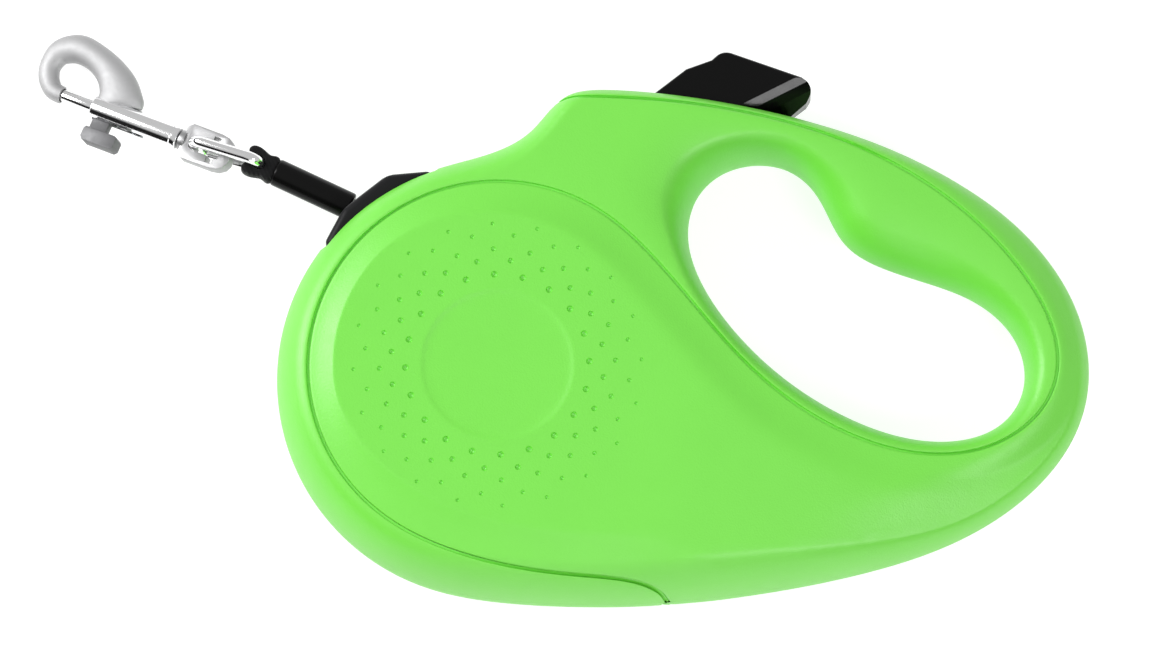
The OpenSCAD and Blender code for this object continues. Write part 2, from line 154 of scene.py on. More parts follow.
def plastic(name, colour, roughness, grain=2600, depth=0.00002, spread=0.05, coat=0.0,
            shine=0.5, ior=1.46):
    """Moulded plastic: fine grain in the mould, and slightly uneven colour and shine."""
    s = Shader(name, IOR=ior, Coat_Weight=coat, Coat_Roughness=0.12, Specular_IOR_Level=shine)
    wide = s.noise(55, 4)
    s.colour(s.ramp(wide, [(0.3, tone(colour, 1 - spread)), (0.7, tone(colour, 1 + spread))]))
    s.roughness(s.range(s.noise(320, 5), roughness - 0.05, roughness + 0.05))
    s.bump(s.noise(grain, 6, rough=0.6), depth)
    return s.material


def metal(name, colour, roughness, streak=(1, 1, 1), depth=0.000004, spread=0.04, vary=0.35):
    """Plated or drawn metal, with faint polishing marks along the longest stretch."""
    s = Shader(name, Metallic=1.0)
    s.colour(s.ramp(s.noise(120, 4), [(0.3, tone(colour, 1 - spread)), (0.7, colour)]))
    s.roughness(s.range(s.noise(900, 4, stretch=streak), roughness * (1 - vary),
                        roughness * (1 + vary)))
    s.bump(s.noise(1500, 5, stretch=streak), depth)
    return s.material


def woven(name, colour, pitch, along):
    """Plain weave: two sets of threads that cross, along the tape and across it."""
    s = Shader(name, Roughness=0.85, Specular_IOR_Level=0.2, Sheen_Weight=0.1,
               Sheen_Roughness=0.4)
    waves = []
    for turn in (0, math.pi / 2):
        node = s.tree.nodes.new("ShaderNodeTexWave")
        node.inputs["Scale"].default_value = 1.0
        node.inputs["Distortion"].default_value = 0.4
        node.inputs["Detail"].default_value = 2.0
        source = s.mapped((0.314 / pitch,) * 3, (0, 0, along + turn))
        if turn:
            node.bands_direction = "Z"
        s.link(source, node.inputs["Vector"])
        waves.append(node.outputs["Fac"])
    cross = s.multiply(waves[0], waves[1])
    s.colour(s.ramp(cross, [(0.0, tone(colour, 0.45)), (0.55, colour), (1.0, tone(colour, 1.7))]))
    s.bump(cross, 0.00012)
    return s.material


GREEN = (0.168, 0.70, 0.050)
EXIT_A = math.radians(154.5)
green = plastic("soft_touch_green", GREEN, 0.46, grain=2200, depth=0.00006, spread=0.012,
                shine=1.0)
outlet_black = plastic("outlet_black", (0.008, 0.008, 0.009), 0.42, grain=1500, depth=0.00002,
                       shine=0.2)
button_black = plastic("button_black", (0.002, 0.002, 0.002), 0.2, depth=0.000003, ior=1.25)
sleeve_black = plastic("sleeve_black", (0.003, 0.003, 0.003), 0.24, grain=900, depth=0.000006,
                       shine=0.16)
acetal = plastic("acetal_white", (0.72, 0.72, 0.69), 0.4)
nylon = plastic("nylon_grey", (0.075, 0.075, 0.08), 0.5)
zinc = metal("zinc_steel", (0.60, 0.60, 0.61), 0.32, (1, 1, 6))
spring_steel = metal("spring_steel", (0.34, 0.36, 0.39), 0.3, (1, 1, 4))
bronze = metal("sintered_bronze", (0.62, 0.42, 0.2), 0.45)
chrome = metal("bright_chrome", (0.95, 0.95, 0.955), 0.12, depth=0.0000004, vary=0.12)
satin = metal("satin_chrome", (0.53, 0.53, 0.535), 0.68, depth=0.0000015, spread=0.02,
              vary=0.12)
plate = metal("plate_chrome", (0.42, 0.42, 0.425), 0.42)
dull = metal("dull_zinc", (0.19, 0.19, 0.195), 0.55, depth=0.000002, vary=0.2)
tape_weave = woven("woven_tape", (0.016, 0.016, 0.017), 0.0006, EXIT_A)
loop_weave = woven("woven_loop", (0.010, 0.010, 0.011), 0.0008, EXIT_A)

# ---------------------------------------------------------------- mesh helpers


def add(name, verts, faces, material, body, replaces=(), sharp=35, slot=None):
    """A piece from points in millimetres, riding on a body of the CAD model."""
    mesh = bpy.data.meshes.new(name)
    mesh.from_pydata([tuple(float(c) * MM for c in v) for v in verts], [], faces)
    return finish_mesh(name, mesh, material, body, replaces, sharp)


def finish_mesh(name, mesh, material, body, replaces=(), sharp=35):
    bm = bmesh.new()
    bm.from_mesh(mesh)
    bmesh.ops.remove_doubles(bm, verts=bm.verts, dist=1e-7)
    bmesh.ops.recalc_face_normals(bm, faces=bm.faces)
    bm.to_mesh(mesh)
    bm.free()
    mesh.materials.clear()
    mesh.materials.append(material)
    mesh.shade_smooth()
    if sharp:
        mesh.set_sharp_from_angle(angle=math.radians(sharp))
    piece = bpy.data.objects.new(name, mesh)
    bpy.context.collection.objects.link(piece)
    if replaces:
        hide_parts(*replaces)
    if body:
        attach(piece, body)
    return piece


def loft(rings, closed=False):
    """Faces through rings of equal length, with caps unless the rings close on themselves."""
    n = len(rings[0])
    verts = [p for ring in rings for p in ring]
    faces = []
    last = len(rings) if closed else len(rings) - 1
    for k in range(last):
        a0, b0 = k * n, ((k + 1) % len(rings)) * n
        faces += [(a0 + i, a0 + (i + 1) % n, b0 + (i + 1) % n, b0 + i) for i in range(n)]
    if not closed:
        faces += [tuple(range(n))[::-1], tuple((len(rings) - 1) * n + i for i in range(n))]
    return verts, faces


def place(points, origin, x, y, z):
    """Points from a local frame to the leash's frame."""
    return [origin + x * p[0] + y * p[1] + z * p[2] for p in points]


def spline_at(p, i, t):
    """A point of the uniform cubic B-spline."""
    n = len(p)
    a, b, c, d = (p[(i + k) % n] for k in range(4))
    return (a * (1 - t) ** 3 + b * (3 * t ** 3 - 6 * t * t + 4)
            + c * (-3 * t ** 3 + 3 * t * t + 3 * t + 1) + d * t ** 3) / 6


def closed_curve(p, m):
    p = [np.array(q, float) for q in p]
    return np.array([spline_at(p, i, j / m) for i in range(len(p)) for j in range(m)])


def open_curve(p, m):
    p = [np.array(q, float) for q in p]
    return np.array([spline_at(p, i, j / m) for i in range(len(p) - 3) for j in range(m)])


def arc_control(r, angles):
    """Control points 20 degrees apart whose spline is an arc of that radius."""
    k = r * 3 / (2 + math.cos(math.radians(20)))
    return [(k * math.cos(math.radians(a)), k * math.sin(math.radians(a))) for a in angles]


def left_of(p, closed=True):
    """Unit vectors to the left of the way along a curve."""
    d = np.roll(p, -1, 0) - np.roll(p, 1, 0)
    if not closed:
        d[0], d[-1] = p[1] - p[0], p[-1] - p[-2]
    return np.stack([-d[:, 1], d[:, 0]], 1) / np.linalg.norm(d, axis=1)[:, None]


def smooth(a, b, v):
    """0 up to a and 1 from b on, with an even slope at both."""
    t = np.clip((v - a) / (b - a), 0, 1)
    return t * t * (3 - 2 * t)


def even(p, step, closed=True):
    """The same curve with its points an even step apart."""
    q = np.vstack([p, p[:1]]) if closed else p
    way = np.concatenate([[0], np.cumsum(np.linalg.norm(np.diff(q, axis=0), axis=1))])
    count = max(8, int(round(way[-1] / step)))
    s = np.linspace(0, way[-1], count + 1)[:count + (0 if closed else 1)]
    return np.stack([np.interp(s, way, q[:, 0]), np.interp(s, way, q[:, 1])], 1)


def distance(points, line, closed=True):
    """Distance of each point to a line, and the index of the line's nearest segment."""
    a, b = line, np.roll(line, -1, 0)
    if not closed:
        a, b = a[:-1], b[:-1]
    best = np.full(len(points), 1e9)
    near = np.zeros(len(points), int)
    for start in range(0, len(points), 4000):
        p = points[start:start + 4000, None, :]
        ab = (b - a)[None]
        t = np.clip(((p - a[None]) * ab).sum(2) / (ab * ab).sum(2), 0, 1)
        d = np.linalg.norm(p - a[None] - ab * t[..., None], axis=2)
        near[start:start + 4000] = d.argmin(1)
        best[start:start + 4000] = d.min(1)
    return best, near


def inside(points, polygon):
    """Whether each point is inside a polygon, by the crossings of a level line."""
    x, y = points[:, 0], points[:, 1]
    odd = np.zeros(len(points), bool)
    for (x0, y0), (x1, y1) in zip(polygon, np.roll(polygon, -1, 0)):
        if y0 == y1:
            continue
        hit = ((y0 > y) != (y1 > y)) & (x < (x1 - x0) * (y - y0) / (y1 - y0) + x0)
        odd ^= hit
    return odd


# ---------------------------------------------------------------- housing shells

MID = 17.0
RIM_R = 47.6
COVER_R = 40.8
outline_ctrl = [(128.8, 0.5), (125.3, 17.5), (114.5, 32.5), (100, 43.5), (82, 52.3), (62, 58.2),
                (42, 62), (24, 63.6), (13, 63), (7.5, 53), (-3, 48.5)] \
    + arc_control(RIM_R, range(110, 271, 20)) \
    + [(17, -49.4), (34, -49.3), (54, -47), (75, -43.2), (96, -37.4), (113, -27.5),
       (124.5, -14.5)]
opening_ctrl = [(114.8, -1), (112.2, 10), (103.5, 18), (92, 21.8), (81, 25.3), (73.3, 30.4),
                (69.8, 41), (62.5, 48.3), (51, 48.3), (42.2, 41.5), (40, 30), (45.3, 17),
                (56, 4), (69, -6), (84, -13), (98, -14.8), (109.5, -11)]
groove_ctrl = [(44, -55), (39, -49.5), (31, -46), (16, -45.4), (1, -43.6)] \
    + arc_control(COVER_R, range(250, 49, -20)) \
    + [(39.5, 17.5), (52.5, 0.8), (68, -11.6), (87, -19.2), (106, -18.3), (119.5, -8), (122, 6),
       (114.5, 21.5), (100, 37), (81, 48.7), (60, 56), (38, 59.3), (20, 59.9), (8, 60), (-4, 60)]
# Corners that close the groove's line round the cover's side, outside the case
COVER_SIDE = [(-10, 90), (150, 90), (150, -80), (44, -80)]
STEP = 1.1
outline = even(closed_curve(outline_ctrl, 12), STEP)
opening = even(closed_curve(opening_ctrl, 12), STEP)
groove = even(open_curve(groove_ctrl, 12), STEP * 0.65, closed=False)

HALF_GROOVE = 0.3
LEDGE_END = 0.285
LINE_R = 0.28
LEDGE = 0.26
WALL = 1.6
EDGE = 4.5
EDGE_MORE = 2.7
PART_GAP = 0.04
# Angles of the rings that round an edge, from the parting plane to the face
ROUND = [math.radians(a) for a in (0, 6, 12, 18, 25, 33, 39, 46, 53, 61, 69, 77, 84, 90)]
BUTTON_RING = 5
OUTLET_RING = 6


def rim_width(p):
    """How far the rounded edge reaches in from the outline."""
    x, y = p[:, 0], p[:, 1]
    low = 6.8 - 4.5 * smooth(45, 108, x)
    high = 6.8 - 2.2 * smooth(-6, 16, x) - 2.2 * smooth(70, 116, x)
    w = smooth(-12, 12, y)
    return low * (1 - w) + high * w


def edge_width():
    """How far the opening's rounded edge reaches out, less where the groove runs close by."""
    return EDGE + EDGE_MORE * smooth(7, 17, distance(opening, groove, False)[0])


def bevel(t, blend):
    """Ramp from 0 to 1 that steepens upwards and ends in a small round at its top."""
    ramp = np.where(t < 1.3, 0.5 * t + 0.5 * t * t, 1.5)
    k = np.clip(0.5 + 0.5 * (1 - ramp) / blend, 0, 1)
    return 1 + (ramp - 1) * k - blend * k * (1 - k)


def face_height(p, cover, d_out, d_open, d_groove):
    """Height of the faces over the parting plane, without the rounded edges."""
    x, y = p[:, 0], p[:, 1]
    away = smooth(41, 127, np.hypot(x, y))
    frame_h = 14.7 - 5.2 * away
    if not cover:
        fall = (1 - np.clip(d_open / 17, 0, 1)) ** 2
        return frame_h - 3.0 * fall * smooth(0, 13, d_groove)
    plateau = 17 - 7 * away
    turn = np.degrees(np.arctan2(y, x)) % 360
    wide = np.where(turn < 150, 5.4 + 2.6 * (1 - smooth(60, 140, turn)),
                    5.4 + 2.8 * smooth(185, 235, turn))
    h = frame_h + (plateau - frame_h) * bevel(d_groove / wide, 0.07 + 0.4 * smooth(-5, 45, x))
    return h - 3.6 * smooth(60, 105, x) * (1 - smooth(0, 15, d_out)) * smooth(0, 6, d_groove)


# Dimples on the disc: five rings of twenty, smaller outwards
dimples = []
for k, (ring_r, dot_r) in enumerate(((19.8, 0.74), (22.95, 0.64), (25.4, 0.58), (28.55, 0.5),
                                     (31.0, 0.44))):
    for j in range(20):
        turn = math.radians(18 * j + (-2 if k % 2 == 0 else 7))
        dimples.append((ring_r * math.sin(turn), ring_r * math.cos(turn), dot_r))
DIMPLE_DEPTH = 0.75
DISH_R = 16.7
DISH_STEP = 0.22
DISH_DEPTH = 0.3
SCREWS = [(20, 53.5, False), (92, 34, False), (52, -22, True), (94, -27, True)]
SEAT_R = 3.1


def ring_of(x, y, r, n):
    """Points on a level circle."""
    a = np.linspace(0, 2 * math.pi, n, endpoint=False)
    return np.stack([x + r * np.cos(a), y + r * np.sin(a)], 1)


def shell(name, cover, lower, replaces):
    """One shell of the case: the frame or the cover, above or below the parting plane."""
    widths = rim_width(outline)
    open_widths = edge_width()
    normal = left_of(outline)
    angle = np.degrees(np.arctan2(outline[:, 1], outline[:, 0]))
    at_button = (outline[:, 0] > 31.2) & (outline[:, 0] < 63.2) & (outline[:, 1] > 40)
    at_outlet = (angle > 106.6) & (angle < 144)
    first = np.where(at_button, BUTTON_RING, np.where(at_outlet, OUTLET_RING, 0))
    points, edges = [], []

    def path(p, closed=True):
        """Points joined by edges that the triangles keep."""
        start = sum(len(q) for q in points)
        points.append(p)
        last = len(p) if closed else len(p) - 1
        edges.extend((start + i, start + (i + 1) % len(p)) for i in range(last))

    def loose(p, clear=0.95):
        """Points without edges, those close to the groove left out."""
        if clear:
            p = p[distance(p, groove, False)[0] > clear]
        points.append(p)

    def inset(k):
        return widths * (1 - math.cos(ROUND[k]))

    border = outline + normal * np.array([inset(k)[i] for i, k in enumerate(first)])[:, None]
    path(border)
    for k in range(1, len(ROUND)):
        keep = first < k
        loose((outline + normal * inset(k)[:, None])[keep])
    out_normal = left_of(opening)
    for k, a in enumerate(ROUND):
        ring = opening - out_normal * (open_widths * (1 - math.cos(a)))[:, None]
        if k == 0:
            path(ring)
        else:
            loose(ring)
    side = left_of(groove, False)
    sign = -1 if cover else 1
    offsets = (0.3, 0.32, 0.37, 0.44, 0.54, 0.9, 1.7, 2.8)
    offsets += (3.9, 4.7, 5.1, 5.4, 5.7, 6.1, 6.8, 7.4, 7.8, 8.1, 8.4, 9.0) if cover else (4.0, 5.5)
    for k, g in enumerate(offsets):
        line = groove + side * (sign * g)
        if k:
            line = line[distance(line, groove, False)[0] > g - 0.01]
        if g > 0.8:
            reach, at = distance(line, outline)
            line = line[(reach > widths[at] * 0.5) & (distance(line, opening)[0] > EDGE * 0.5)]
        if k == 0 and cover:
            path(line, False)
        else:
            loose(line, 0)
    if not cover:
        for g in (0.24, 0.0):
            loose(groove + side * g, 0)
        path(groove - side * LEDGE_END, False)
    # grid points away from the rings
    step = STEP * 1.5
    gx, gy = np.meshgrid(np.arange(-50, 131, step), np.arange(-52, 66, step))
    gx[1::2] += step / 2
    grid = np.stack([gx.ravel(), gy.ravel()], 1)
    grid = grid[inside(grid, outline) & ~inside(grid, opening)]
    d_o, near_o = distance(grid, outline)
    d_p, near_p = distance(grid, opening)
    d_g = distance(grid, groove, False)[0]
    keep = (d_o > widths[near_o] + 0.5) & (d_p > open_widths[near_p] + 0.5)
    keep &= d_g > offsets[-1] + 0.6
    if cover:
        radius = np.hypot(grid[:, 0], grid[:, 1])
        keep &= (radius < DISH_R - 2) | (radius > DISH_R + 1.2)
        for x, y, r in dimples:
            keep &= np.hypot(grid[:, 0] - x, grid[:, 1] - y) > r * 1.9
    grid = grid[keep]
    if cover:
        for r in (DISH_R - 1.4, DISH_R - 0.8, DISH_R - 0.4, DISH_R, DISH_R + 0.35):
            loose(ring_of(0, 0, r, 110))
        for x, y, r in dimples:
            loose(np.array([[x, y]]))
            for share in (0.5, 0.75, 0.9, 1.0, 1.2):
                loose(ring_of(x, y, r * share, 12))
    screws = [(x, y) for x, y, on_cover in SCREWS if on_cover == cover] if lower else []
    for x, y in screws:
        grid = grid[np.hypot(grid[:, 0] - x, grid[:, 1] - y) > SEAT_R + 0.8]
        path(ring_of(x, y, SEAT_R, 40))
        loose(ring_of(x, y, SEAT_R + 0.25, 40))
    loose(grid)
    flat_points = np.vstack(points)
    out = delaunay_2d_cdt([Vector(p) for p in flat_points], edges, [], 0, 1e-5)
    p = np.array([tuple(v) for v in out[0]])
    tris = np.array(out[2])
    # the cover lies on the groove's right
    edge_line = groove + side * (-HALF_GROOVE if cover else -LEDGE_END)
    cover_side = np.vstack([edge_line, COVER_SIDE])
    middle = p[tris].mean(1)
    on_cover = inside(middle, cover_side)
    keep = inside(middle, border) & ~inside(middle, opening) & (on_cover == cover)
    for x, y in screws:
        keep &= np.hypot(middle[:, 0] - x, middle[:, 1] - y) > SEAT_R * 0.99
    tris = tris[keep]
    used, tris = np.unique(tris, return_inverse=True)
    tris = tris.reshape(-1, 3)
    p = p[used]

    d_out, near = distance(p, outline)
    d_out *= inside(p, outline)
    d_open, near_open = distance(p, opening)
    d_groove = distance(p, groove, False)[0]
    flat = face_height(p, cover, d_out, d_open, d_groove)

    def edged(cut):
        """The face with its rounded edges, cut back by that much at each point."""
        h = flat
        for d, width in ((d_out - cut, widths[near]), (d_open - cut, open_widths[near_open])):
            t = np.clip(d / width, 0, 1)
            h = h * np.sqrt(np.clip(1 - (1 - t) ** 2, 0, 1))
        return h - cut

    base = np.column_stack([p, MID + np.maximum(edged(0), PART_GAP)])
    # small round along the groove, and the frame's ledge under it
    t = np.clip(d_groove - HALF_GROOVE, 0, LINE_R)
    cut = LINE_R - np.sqrt(np.clip(LINE_R ** 2 - (LINE_R - t) ** 2, 0, 1))
    if not cover:
        towards = inside(p, np.vstack([groove, COVER_SIDE]))
        cut = np.where(towards | (d_groove < LEDGE_END), cut + LEDGE, cut)
    h = edged(cut)
    if cover:
        radius = np.hypot(p[:, 0], p[:, 1])
        h = h - DISH_STEP * smooth(DISH_R, DISH_R - 1.4, radius) \
            - DISH_DEPTH * np.clip(1 - (radius / DISH_R) ** 2, 0, 1)
        for x, y, r in dimples:
            rho = np.hypot(p[:, 0] - x, p[:, 1] - y) / r
            h = h - DIMPLE_DEPTH * r * np.clip(1 - rho ** 4, 0, 1)
    z = MID + np.maximum(h, PART_GAP)
    outer = np.column_stack([p, z])

    # normals of the face without its small details, then an inner face one wall below it
    a, b, c = (base[tris[:, k]] for k in range(3))
    face_n = np.cross(b - a, c - a)
    flip = face_n[:, 2] < 0
    tris[flip] = tris[flip][:, ::-1]
    face_n[flip] *= -1
    normals = np.zeros_like(outer)
    for k in range(3):
        np.add.at(normals, tris[:, k], face_n)
    normals /= np.linalg.norm(normals, axis=1)[:, None] + 1e-12
    inner = base - normals * WALL
    inner[:, 2] = np.maximum(inner[:, 2], MID + PART_GAP)
    n = len(outer)
    count = {}
    for t in tris:
        for i in range(3):
            e = (int(t[i]), int(t[(i + 1) % 3]))
            count[e] = count.get(e, 0) + 1
    rim = [e for e in count if (e[1], e[0]) not in count]
    faces = [tuple(int(i) for i in t) for t in tris]
    faces += [tuple(int(i) + n for i in t[::-1]) for t in tris]
    faces += [(b_, a_, a_ + n, b_ + n) for a_, b_ in rim]
    verts = np.vstack([outer, inner])
    if lower:
        verts[:, 2] = 2 * MID - verts[:, 2]
        faces = [f[::-1] for f in faces]
    return add(name, verts, faces, green, "housing", replaces, 38, "case_green")


shell("case_frame_top", False, False, ["frame_upper"])
shell("case_cover_top", True, False, ["cover_upper"])
shell("case_frame_bottom", False, True, ["frame_lower"])
shell("case_cover_bottom", True, True, ["cover_lower"])

# Seats of the four screws, from the lower faces up to the heads
SEAT_Z = 9.0


def lathe(profile, origin, axis, n=48, closed=True):
    """Rings round an axis through points (place along the axis, radius)."""
    axis = Vector(axis).normalized()
    side = axis.orthogonal().normalized()
    third = axis.cross(side)
    rings = []
    for along, r in profile:
        middle = Vector(origin) + axis * along
        rings.append([middle + (side * math.cos(a) + third * math.sin(a)) * r
                      for a in (2 * math.pi * k / n for k in range(n))])
    return loft(rings, closed)


for k, (x, y, on_cover) in enumerate(SCREWS):
    q = np.array([[x, y]])
    face_z = MID - float(face_height(q, on_cover, distance(q, outline)[0],
                                     distance(q, opening)[0], distance(q, groove, False)[0])[0])
    add("screw_seat_%d" % (k + 1),
        *lathe([(face_z + 0.8, SEAT_R), (SEAT_Z, SEAT_R), (SEAT_Z, 1.35), (SEAT_Z + 0.9, 1.35),
                (SEAT_Z + 0.9, 4.0), (face_z + 1.2, 4.0)], (x, y, 0), (0, 0, 1)),
        green, "housing", ["cover_lower" if on_cover else "frame_lower"], 30, "case_green")

# ---------------------------------------------------------------- solids with cuts


def solid(verts, faces):
    mesh = bpy.data.meshes.new("solid")
    mesh.from_pydata([tuple(float(c) * MM for c in v) for v in verts], [], faces)
    bm = bmesh.new()
    bm.from_mesh(mesh)
    bmesh.ops.recalc_face_normals(bm, faces=bm.faces)
    bm.to_mesh(mesh)
    bm.free()
    return mesh


def prism(points, z0, z1):
    n = len(points)
    verts = [(x, y, z0) for x, y in points] + [(x, y, z1) for x, y in points]
    faces = [(i, (i + 1) % n, n + (i + 1) % n, n + i) for i in range(n)]
    return verts, faces + [tuple(range(n))[::-1], tuple(range(n, 2 * n))]


def moved(shape, origin, x, y, z):
    return place(shape[0], Vector(origin), x, y, z), shape[1]


def rounded(mesh, width, segments=3, limit=28):
    """The mesh with its edges over that angle rounded."""
    bm = bmesh.new()
    bm.from_mesh(mesh)
    bmesh.ops.remove_doubles(bm, verts=bm.verts, dist=1e-6)
    bmesh.ops.dissolve_limit(bm, angle_limit=math.radians(1), verts=bm.verts, edges=bm.edges)
    edges = [e for e in bm.edges if len(e.link_faces) == 2
             and e.calc_face_angle(0) > math.radians(limit)]
    bmesh.ops.bevel(bm, geom=edges, offset=width * MM, offset_type="OFFSET", segments=segments,
                    profile=0.5, affect="EDGES", clamp_overlap=True)
    bm.to_mesh(mesh)
    bm.free()
    return mesh


def carved(mesh, cutters):
    """The mesh less the cutters' volumes."""
    base = bpy.data.objects.new("base", mesh)
    bpy.context.collection.objects.link(base)
    tools = []
    for cutter in cutters:
        tool = bpy.data.objects.new("tool", cutter)
        bpy.context.collection.objects.link(tool)
        cut = base.modifiers.new("cut", "BOOLEAN")
        cut.operation = "DIFFERENCE"
        cut.solver = "EXACT"
        cut.object = tool
        tools.append(tool)
    bpy.context.view_layer.update()
    ready = base.evaluated_get(bpy.context.evaluated_depsgraph_get())
    result = bpy.data.meshes.new_from_object(ready)
    for ob in tools + [base]:
        bpy.data.objects.remove(ob)
    return result


def cad_copy(node):
    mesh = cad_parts[node].data.copy()
    if "sharp_edge" in mesh.attributes:
        mesh.attributes.remove(mesh.attributes["sharp_edge"])
    return mesh


# ---------------------------------------------------------------- brake button

BUTTON_AT = Vector((46, 56, MID))
BX = Vector((0.8, 0.6, 0))
BY = Vector((-0.6, 0.8, 0))
UP = Vector((0, 0, 1))
BACK_X = -8.4
button_plan = [(BACK_X, -2.5), (2, -5), (8, -7.2), (12, -8.4), (19.6, -8.3), (21.6, -7.5),
               (22.2, -5.8), (21.6, -3.9), (12.2, 10.2), (10.6, 11), (8.3, 10.8), (2.7, 12.5),
               (BACK_X, 12.3)]
button = rounded(solid(*moved(prism(button_plan, -6, 6), BUTTON_AT, BX, BY, UP)), 1.25, 5)
# The pad's lower right falls away in three steps from a fold across its face
FOLD = Vector((7.3, -1.0))
FOLD_DIR = Vector((0.985, -0.172))
fall = Vector((FOLD_DIR.y, -FOLD_DIR.x))
bm = bmesh.new()
bm.from_mesh(button)
for reach, drop, tilt in ((0.0, 0.0, 24), (1.8, 0.8, 38), (3.6, 2.2, 66)):
    at = FOLD + fall * reach
    a = math.radians(tilt)
    origin = BUTTON_AT + BX * at.x + BY * at.y + UP * (6 - drop)
    normal = (BX * fall.x + BY * fall.y) * math.sin(a) + UP * math.cos(a)
    result = bmesh.ops.bisect_plane(bm, geom=bm.verts[:] + bm.edges[:] + bm.faces[:],
                                    plane_co=origin * MM, plane_no=normal, clear_outer=True)
    cut = [e for e in result["geom_cut"] if isinstance(e, bmesh.types.BMEdge)]
    bmesh.ops.holes_fill(bm, edges=cut, sides=0)
bm.to_mesh(button)
bm.free()
peg_hole = solid(*lathe([(BACK_X - 1, 1.25), (BACK_X + 4, 1.25)], BUTTON_AT, BX, 24, False))
finish_mesh("brake_pad", carved(button, [peg_hole]), button_black, "brake", ["brake_button"], 22)

# ---------------------------------------------------------------- coil springs


def tube(path, r, n=12, closed=False):
    m = len(path)
    rings = []
    across = None
    for i, p in enumerate(path):
        a = path[(i - 1) % m] if closed or i else p
        b = path[(i + 1) % m] if closed or i < m - 1 else p
        t = (b - a).normalized()
        across = t.orthogonal() if across is None else across
        across = (across - t * across.dot(t)).normalized()
        third = t.cross(across)
        rings.append([p + (across * math.cos(k) + third * math.sin(k)) * r
                      for k in (2 * math.pi * j / n for j in range(n))])
    return loft(rings, closed)


def coil(name, origin, axis, start, end, r, wire, turns, body, node, slot):
    """A compression spring with closed ends, that flattens towards its start."""
    axis = Vector(axis).normalized()
    side = axis.orthogonal().normalized()
    third = axis.cross(side)
    path = []
    steps = int(turns * 28)
    for k in range(steps + 1):
        t = k / steps
        a = 2 * math.pi * turns * t
        share = float(smooth(0.0, 1.0, t)) * 0.5 + t * 0.5
        along = start + wire + (end - start - 2 * wire) * share
        path.append(Vector(origin) + axis * along + (side * math.cos(a) + third * math.sin(a)) * r)
    piece = add(name, *tube(path, wire, 8), spring_steel, body, [node], 0, slot)
    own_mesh(piece)
    return piece


coil("button_coil", BUTTON_AT + BY * 6, BX, -17.5, BACK_X, 2.1, 0.29, 6, "housing",
     "button_spring", "spring_steel")

# ---------------------------------------------------------------- tape and its outlet

OUT_AT = Vector((-31.3, 38.1, MID))
EX = Vector((math.cos(EXIT_A), math.sin(EXIT_A), 0))
EY = Vector((-math.sin(EXIT_A), math.cos(EXIT_A), 0))
TAPE_T = 0.8
TAPE_W = 8.0
LEAVE_A = math.radians(100)
LIP = Vector((-25.8, 35.5, MID))
leave = Vector((math.cos(LEAVE_A), math.sin(LEAVE_A), 0))

arc = [(42.9 * math.cos(math.radians(a)), 42.9 * math.sin(math.radians(a)))
       for a in range(141, 110, -3)]
outlet = rounded(solid(*prism([(-14, 44.6), (-23.9, 43.7), (-33.4, 36.2), (-37.6, 28.2)] + arc,
                              MID - 9, MID + 9)), 1.5, 5, 20)
SLOT_W = TAPE_W + 0.8
seat = solid(*lathe([(0.1, 3.4), (6, 3.4)], OUT_AT, EX, 40, False))
box = prism([(-6.4, -1.1), (5.6, -1.1), (5.6, 1.1), (-6.4, 1.1)], -SLOT_W / 2, SLOT_W / 2)
straight = solid(*moved(box, OUT_AT, EX, EY, UP))
finish_mesh("outlet_nozzle", carved(outlet, [seat, straight]), outlet_black,
            "housing", ["tape_outlet"], 30)


def flat_ring(middle, side, t, w):
    """Cross-section of the tape, with rounded edges."""
    half, high = t / 2, w / 2
    corner = half * 0.9
    ring = []
    for k, (sx, sz) in enumerate(((1, 1), (-1, 1), (-1, -1), (1, -1))):
        for a in (5, 30, 60, 85):
            b = math.radians(90 * k + a)
            ring.append(middle + side * (sx * (half - corner) + corner * math.cos(b))
                        + UP * (sz * (high - corner) + corner * math.sin(b)))
    return ring


run_start = leave * (39 + TAPE_T / 2 + 0.05) + UP * MID
run_end = OUT_AT + EX * 0.4
rings = []
way = [run_start.lerp(LIP, t) for t in (0, 0.25, 0.5, 0.75, 0.92)] \
    + [LIP.lerp(run_end, t) for t in (0.06, 0.2, 0.4, 0.6, 0.75, 0.88, 1.0)]
for i, q in enumerate(way):
    d = (way[min(i + 1, len(way) - 1)] - way[max(i - 1, 0)]).normalized()
    rings.append(flat_ring(q, Vector((d.y, -d.x, 0)), TAPE_T, TAPE_W))
run = add("tape_strip", *loft(rings), tape_weave, None, ["tape_run"], 50, "tape_black")
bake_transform(run)

# The winding shows each turn's edge on both faces
profile = []
TURNS = 28
WOUND_FROM, WOUND_TO = 16.05, 38.9
for k in range(TURNS * 4 + 1):
    r = WOUND_FROM + (WOUND_TO - WOUND_FROM) * k / (TURNS * 4)
    profile.append((TAPE_W / 2 - (0.16, 0.03, 0.0, 0.03)[k % 4], r))
profile += [(-a, r) for a, r in reversed(profile)]
add("tape_winding", *lathe(profile, (0, 0, MID), (0, 0, 1), 120), tape_weave, "spool",
    ["wound_tape"], 30, "tape_black")

# ---------------------------------------------------------------- sleeve and loop

add("end_sleeve", *lathe([(0.45, 1.85), (0.45, 2.6), (0.55, 2.82), (0.8, 2.96), (1.1, 3.0),
                          (17.9, 3.0), (18.25, 2.95), (18.5, 2.8), (18.6, 2.55), (18.6, 1.85)],
                         OUT_AT, EX, 56), sleeve_black, "leash_end", ["tape_sleeve"], 50,
    "sleeve_black")
add("loop_core", *lathe([(0.65, 1.0), (0.65, 1.4), (0.9, 1.7), (18.0, 1.7), (18.3, 1.4),
                         (18.3, 1.0)], OUT_AT, EX, 24, False), loop_weave, "leash_end",
    ["leash_loop"], 50, "tape_black")

